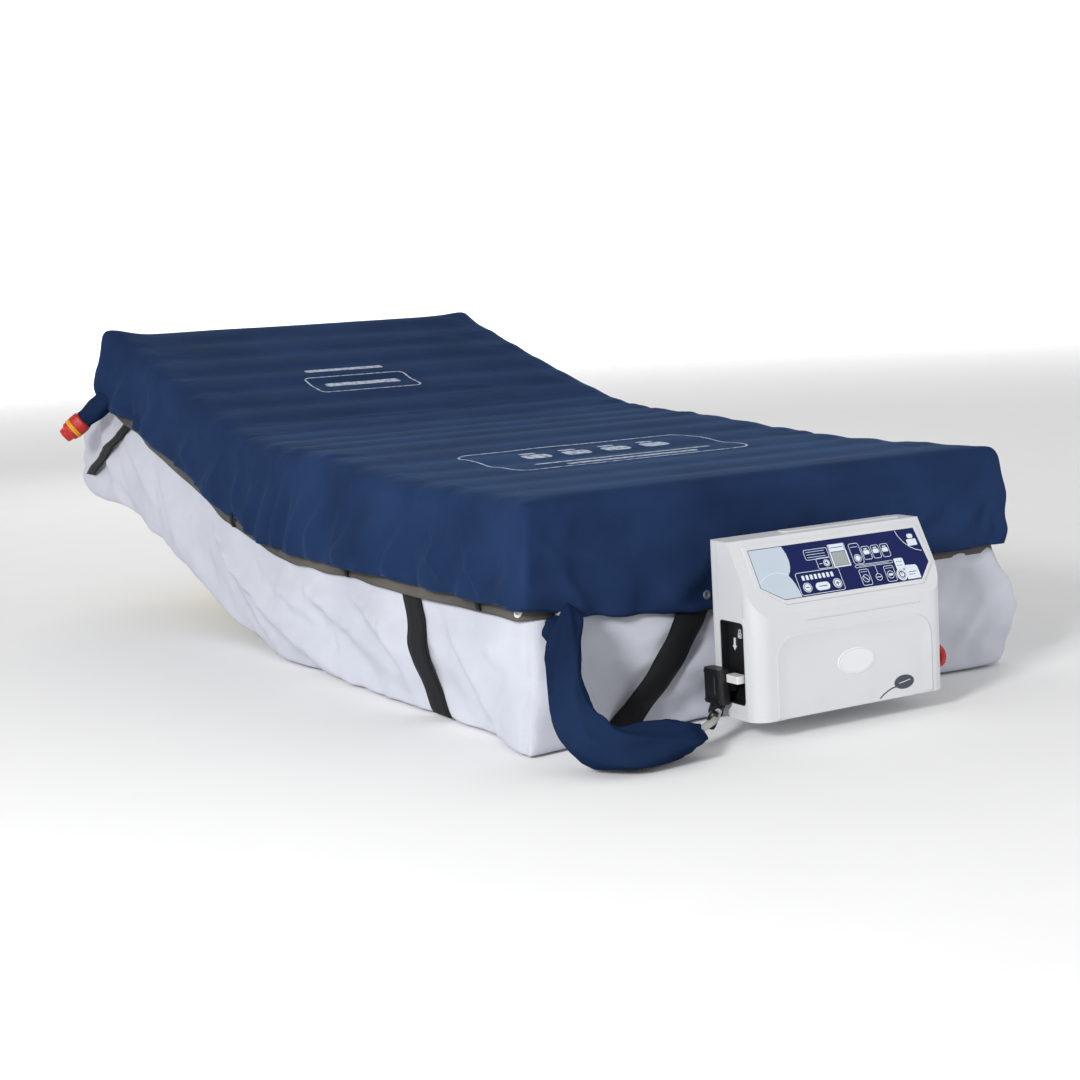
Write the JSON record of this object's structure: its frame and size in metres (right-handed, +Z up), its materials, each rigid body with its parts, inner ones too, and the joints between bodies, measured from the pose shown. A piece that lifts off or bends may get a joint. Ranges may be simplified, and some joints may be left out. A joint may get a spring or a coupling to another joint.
{
  "type": "pressure relief mattress",
  "caption": "Alternating-pressure air mattress overlay on a sheeted base mattress with raised backrest, strapped down and fed by a hook-on pump through a sleeved hose.",
  "frame": {"origin": "on the flat underside of the base mattress, at the middle of the foot and seat section, where the bed deck carries it", "axes": "+X across the bed to the right as seen from the foot, +Y along the bed from foot to head, +Z up from the deck"},
  "size_m": [1.0156, 2.2421, 0.6141],
  "materials": {
    "foam": "matte",
    "white_cotton": "matte",
    "grey_nylon": "matte",
    "navy_cover": "satin",
    "navy_sleeve": "satin",
    "cell_nylon": "satin",
    "webbing": "matte",
    "clear_pvc": "gloss",
    "shell_white": "satin",
    "panel_navy": "satin",
    "lcd_grey": "gloss",
    "key_white": "satin",
    "black_plastic": "satin",
    "red_plastic": "gloss",
    "yellow_plastic": "gloss",
    "foot_rubber": "matte",
    "cast_metal": "satin",
    "board_green": "satin"
  },
  "bodies": {
    "root": {"base_foam_foot": "foam", "fitted_sheet_foot": "white_cotton", "overlay_base_foot": "grey_nylon", "cover_foot": "navy_cover", "air_cell_01": "cell_nylon", "air_cell_02": "cell_nylon", "air_cell_03": "cell_nylon", "air_cell_04": "cell_nylon", "air_cell_05": "cell_nylon", "air_cell_06": "cell_nylon", "air_cell_07": "cell_nylon", "air_cell_08": "cell_nylon", "air_cell_09": "cell_nylon", "air_line": "clear_pvc", "side_strap_left": "webbing", "side_strap_right": "webbing", "foot_strap": "webbing", "hose_sleeve": "navy_sleeve", "air_tube_a": "clear_pvc", "air_tube_b": "clear_pvc", "hose_connector": "black_plastic", "pump_front_case": "shell_white", "pump_back_case": "shell_white", "pump_foot_left": "foot_rubber", "pump_foot_right": "foot_rubber", "control_panel": "panel_navy", "lcd_window": "lcd_grey", "circuit_board": "board_green", "compressor": "cast_metal", "connector_bay": "black_plastic", "mains_inlet": "black_plastic"},
    "head_section": {"base_foam_head": "foam", "fitted_sheet_head": "white_cotton", "overlay_base_head": "grey_nylon", "cover_head": "navy_cover", "air_cell_10": "cell_nylon", "air_cell_11": "cell_nylon", "air_cell_12": "cell_nylon", "air_cell_13": "cell_nylon", "air_cell_14": "cell_nylon", "air_cell_15": "cell_nylon", "air_cell_16": "cell_nylon", "air_cell_17": "cell_nylon", "head_strap_left": "webbing", "head_strap_right": "webbing", "cpr_sleeve": "navy_sleeve", "cpr_valve_body": "red_plastic", "cpr_band": "yellow_plastic"},
    "cpr_cap": {"cpr_cap": "red_plastic"},
    "connector_latch": {"connector_latch": "key_white"},
    "hook_left": {"hook_left": "shell_white"},
    "hook_right": {"hook_right": "shell_white"},
    "side_knob": {"side_knob": "red_plastic"},
    "power_switch": {"power_switch": "red_plastic"},
    "filter_cover": {"filter_cover": "shell_white"},
    "key_minus": {"key_minus": "key_white"},
    "key_boost": {"key_boost": "key_white"},
    "key_plus": {"key_plus": "key_white"},
    "key_mute": {"key_mute": "key_white"},
    "key_power": {"key_power": "key_white"}
  },
  "joints": [
    {"name": "backrest", "type": "hinge", "parent": "root", "child": "head_section", "pos_m": [0, 0.63147, 0], "axis": [1, 0, 0], "range_deg": [-16, 29], "deforming": ["base_foam_foot", "fitted_sheet_foot", "overlay_base_foot", "cover_foot", "air_line", "air_cell_08", "air_cell_09", "air_cell_10", "air_cell_11"]},
    {"name": "cpr_cap_pull", "type": "slide", "parent": "head_section", "child": "cpr_cap", "axis": [-0.7406, 0.3004, -0.601], "range_m": [0, 0.02]},
    {"name": "latch_press", "type": "slide", "parent": "root", "child": "connector_latch", "axis": [0, 0, -1], "range_m": [0, 0.003], "stiffness_N_per_m": 400},
    {"name": "hook_left_fold", "type": "hinge", "parent": "root", "child": "hook_left", "pos_m": [-0.106, -0.487, 0.2595], "axis": [1, 0, 0], "range_deg": [0, 90]},
    {"name": "hook_right_fold", "type": "hinge", "parent": "root", "child": "hook_right", "pos_m": [0.086, -0.487, 0.2595], "axis": [1, 0, 0], "range_deg": [0, 90]},
    {"name": "side_knob_turn", "type": "hinge", "parent": "root", "child": "side_knob", "pos_m": [0.165, -0.5655, 0.073], "axis": [1, 0, 0], "range_deg": [0, 90]},
    {"name": "power_rocker", "type": "hinge", "parent": "root", "child": "power_switch", "pos_m": [0.134, -0.497, 0.0705], "axis": [1, 0, 0], "range_deg": [0, 12]},
    {"name": "filter_cover_pull", "type": "slide", "parent": "root", "child": "filter_cover", "axis": [0, 1, 0], "range_m": [0, 0.012]},
    {"name": "key_minus_press", "type": "slide", "parent": "root", "child": "key_minus", "axis": [0, 0.8695, -0.4939], "range_m": [0, 0.0005], "stiffness_N_per_m": 300},
    {"name": "key_boost_press", "type": "slide", "parent": "root", "child": "key_boost", "axis": [0, 0.8695, -0.4939], "range_m": [0, 0.0005], "stiffness_N_per_m": 300},
    {"name": "key_plus_press", "type": "slide", "parent": "root", "child": "key_plus", "axis": [0, 0.8695, -0.4939], "range_m": [0, 0.0005], "stiffness_N_per_m": 300},
    {"name": "key_mute_press", "type": "slide", "parent": "root", "child": "key_mute", "axis": [0, 0.8695, -0.4939], "range_m": [0, 0.0005], "stiffness_N_per_m": 300},
    {"name": "key_power_press", "type": "slide", "parent": "root", "child": "key_power", "axis": [0, 0.8695, -0.4939], "range_m": [0, 0.0005], "stiffness_N_per_m": 300}
  ]
}
